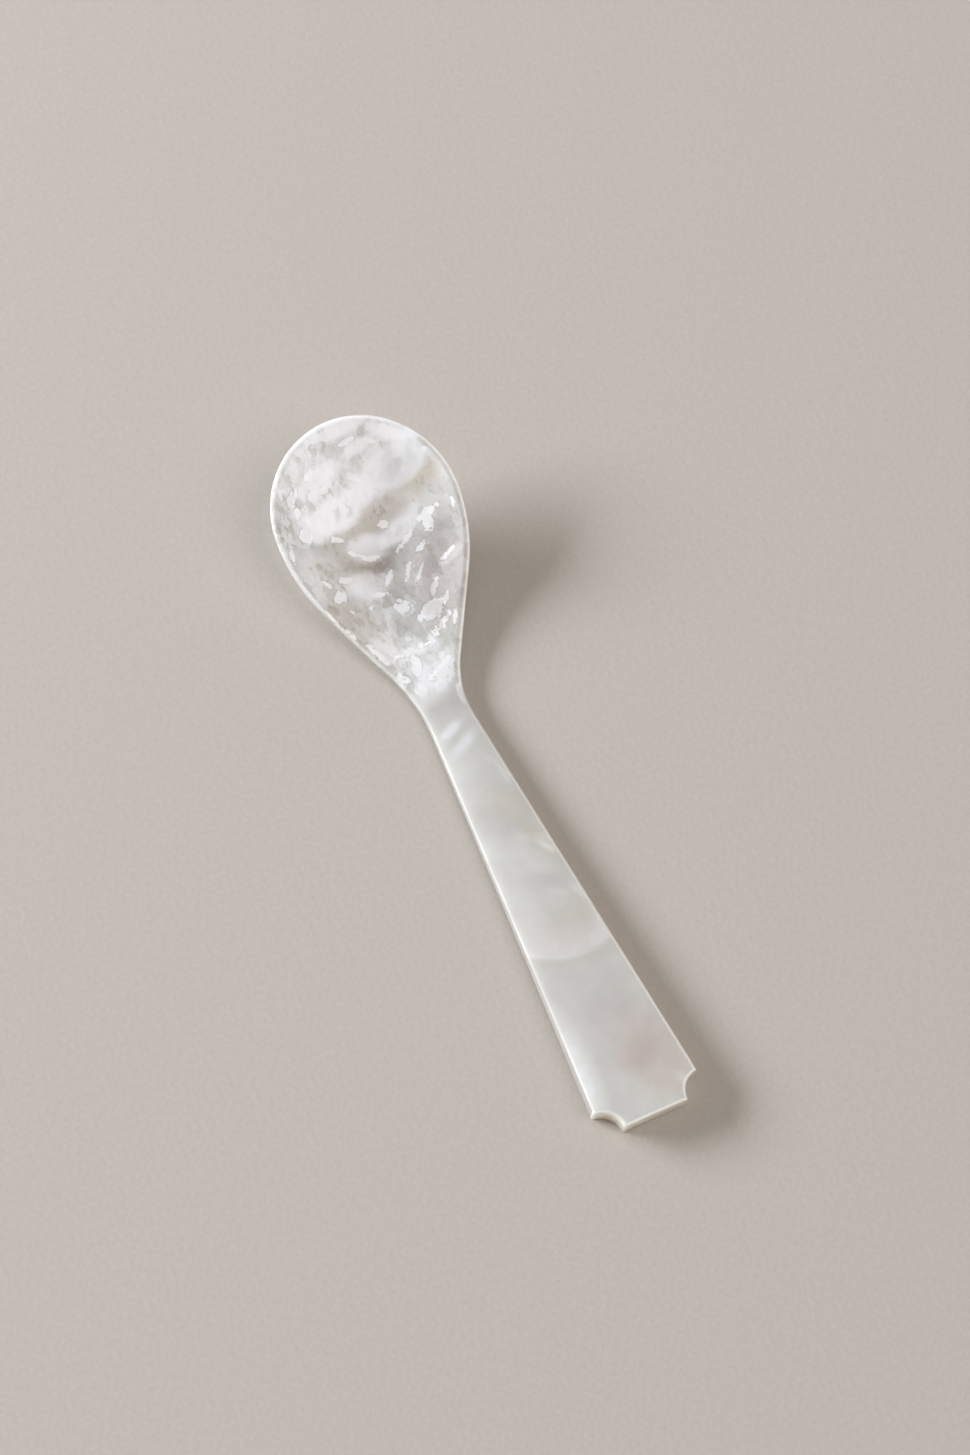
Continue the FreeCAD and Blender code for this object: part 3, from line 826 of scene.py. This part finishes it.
# Floor
ground = bpy.data.meshes.new("floor")
ground.from_pydata([(x * FLOOR_HALF, y * FLOOR_HALF, 0.0)
                    for x, y in ((-1, -1), (1, -1), (1, 1), (-1, 1))], [], [(0, 1, 2, 3)])
floor = bpy.data.objects.new("floor", ground)
bpy.context.scene.collection.objects.link(floor)
floor.data.materials.append(paper())

# Camera: leans from the vertical towards the handle and the left side
TILT, TOWARDS, ROLL = (math.radians(a) for a in (24.92, 39.31, -27.38))
AIM = Vector((6.9, -2.84, 0.0)) * MM
DISTANCE = 529.5 * MM
back = Vector((-math.sin(TILT) * math.cos(TOWARDS), math.sin(TILT) * math.sin(TOWARDS),
               math.cos(TILT)))
ahead = Vector((1, 0, 0))
ahead = (ahead - back * ahead.dot(back)).normalized()
right = (-back).cross(ahead)
across = right * math.cos(ROLL) + ahead * math.sin(ROLL)
upright = ahead * math.cos(ROLL) - right * math.sin(ROLL)
camera = bpy.data.objects.new("camera", bpy.data.cameras.new("camera"))
camera.data.lens = 85
camera.data.sensor_width = 36
camera.data.clip_start = 0.05
camera.data.clip_end = 20
bpy.context.scene.collection.objects.link(camera)
turn = Matrix((across, upright, back)).transposed().to_4x4()
camera.matrix_world = Matrix.Translation(AIM + back * DISTANCE) @ turn
bpy.context.scene.camera = camera

# Light: a low soft window on the picture's left, a white card on its right, the room's own
def soft_light(name, azimuth, height, distance, wide, high, share, tint):
    """An elliptical lamp aimed at the origin that gives the floor there its share of the light.

    Irradiance on the floor is power times the sine of the height over pi times the
    square of the distance; a share of 1 lets a white floor render as white.
    """
    lamp = bpy.data.lights.new(name, "AREA")
    lamp.shape = "ELLIPSE"
    lamp.size, lamp.size_y = wide, high
    lamp.energy = share * math.pi ** 2 * distance ** 2 / math.sin(height)
    lamp.color = tint
    made = bpy.data.objects.new(name, lamp)
    towards = Vector((math.cos(azimuth) * math.cos(height), math.sin(azimuth) * math.cos(height),
                      math.sin(height)))
    made.location = towards * distance
    made.rotation_mode = "QUATERNION"
    made.rotation_quaternion = towards.to_track_quat("Z", "Y")
    bpy.context.scene.collection.objects.link(made)


KEY_SHARE, CARD_SHARE, ROOM_SHARE = 0.54, 0.34, 0.26
soft_light("window", azimuth=math.radians(48.1), height=math.radians(14.9), distance=1.5,
           wide=1.1, high=0.35, share=KEY_SHARE, tint=(0.88, 0.94, 1.0))
soft_light("white_card", azimuth=math.radians(-125), height=math.radians(55), distance=1.5,
           wide=1.5, high=1.5, share=CARD_SHARE, tint=(1.0, 0.99, 0.98))

room = bpy.data.worlds.new("room")
room.use_nodes = True
room.node_tree.nodes["Background"].inputs[0].default_value = colour("#FFF6EC")
room.node_tree.nodes["Background"].inputs[1].default_value = ROOM_SHARE
bpy.context.scene.world = room
bpy.context.scene.view_settings.view_transform = "Standard"
